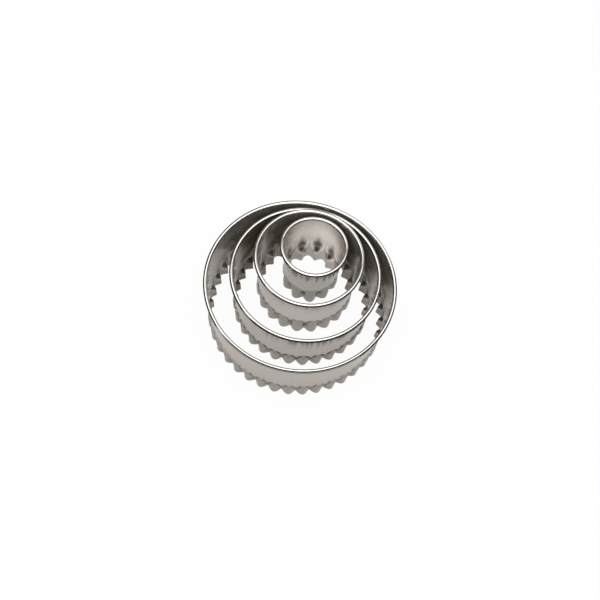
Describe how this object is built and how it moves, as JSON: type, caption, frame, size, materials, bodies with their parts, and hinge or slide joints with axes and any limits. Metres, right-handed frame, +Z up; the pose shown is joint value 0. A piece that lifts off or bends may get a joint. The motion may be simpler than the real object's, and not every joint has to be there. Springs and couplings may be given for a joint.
{
  "type": "fluted pastry cutter set",
  "caption": "Nested set of round pastry cutters in sheet steel, each with a rolled rim, a lapped seam and a fluted cutting edge.",
  "frame": {"origin": "under the middle of the largest cutter, on the plane that the set stands on", "axes": "+Z up along the cutters' axes, from the fluted cutting edge to the rolled rim; the set's front, where the cutters lie furthest apart, faces -Y"},
  "size_m": [0.0978, 0.0978, 0.0365],
  "materials": {
    "steel_sheet": "satin rolled sheet",
    "rim_wire": "drawn wire",
    "spot_weld": "heat tinted"
  },
  "bodies": {
    "largest": {"largest_band": "steel_sheet", "largest_rim_wire": "rim_wire", "largest_seam_welds": "spot_weld"},
    "large": {"large_band": "steel_sheet", "large_rim_wire": "rim_wire", "large_seam_welds": "spot_weld"},
    "small": {"small_band": "steel_sheet", "small_rim_wire": "rim_wire", "small_seam_welds": "spot_weld"},
    "smallest": {"smallest_band": "steel_sheet", "smallest_rim_wire": "rim_wire", "smallest_seam_welds": "spot_weld"}
  },
  "joints": [
    {"name": "large_lift", "type": "slide", "parent": "largest", "child": "large", "axis": [0, 0, 1], "range_m": [0, 0.06]},
    {"name": "small_lift", "type": "slide", "parent": "large", "child": "small", "axis": [0, 0, 1], "range_m": [0, 0.06]},
    {"name": "smallest_lift", "type": "slide", "parent": "small", "child": "smallest", "axis": [0, 0, 1], "range_m": [0, 0.06]}
  ]
}
